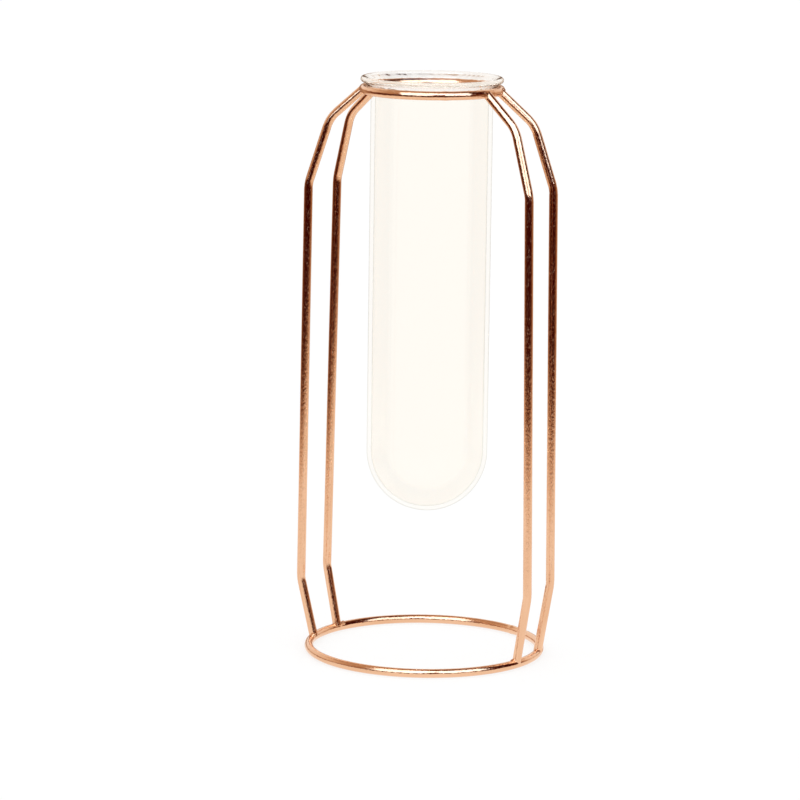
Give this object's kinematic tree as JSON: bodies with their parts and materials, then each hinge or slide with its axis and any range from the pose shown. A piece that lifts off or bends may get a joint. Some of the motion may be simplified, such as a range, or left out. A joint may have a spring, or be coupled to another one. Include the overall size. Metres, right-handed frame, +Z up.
{
  "type": "test tube vase in a wire stand",
  "caption": "Clear glass tube vase with a round bottom and a flared lip, hung loose in a copper-plated bent-wire stand with a round base.",
  "frame": {"origin": "middle of the base ring, on the surface that the vase stands on", "axes": "+Z up along the tube, +X towards one pair of legs, -Y to the front"},
  "size_m": [0.1074, 0.1, 0.24],
  "materials": {
    "copper_wire": "iron wire, bright copper plating in a rose-gold shade, fine drawing lines along the wire",
    "weld": "weld metal plated with the wire, slightly duller",
    "glass": "clear blown glass, fire-polished lip"
  },
  "bodies": {
    "stand": {"base_ring": "copper_wire", "top_ring": "copper_wire", "leg_front_left": "copper_wire", "leg_back_left": "copper_wire", "leg_front_right": "copper_wire", "leg_back_right": "copper_wire", "weld_foot_front_left": "weld", "weld_foot_back_left": "weld", "weld_foot_front_right": "weld", "weld_foot_back_right": "weld", "weld_top_front_left": "weld", "weld_top_back_left": "weld", "weld_top_front_right": "weld", "weld_top_back_right": "weld"},
    "tube": {"glass_tube": "glass"}
  },
  "joints": [
    {"name": "tube_lift", "type": "slide", "parent": "stand", "child": "tube", "axis": [0, 0, 1], "range_m": [0, 0.185]}
  ]
}
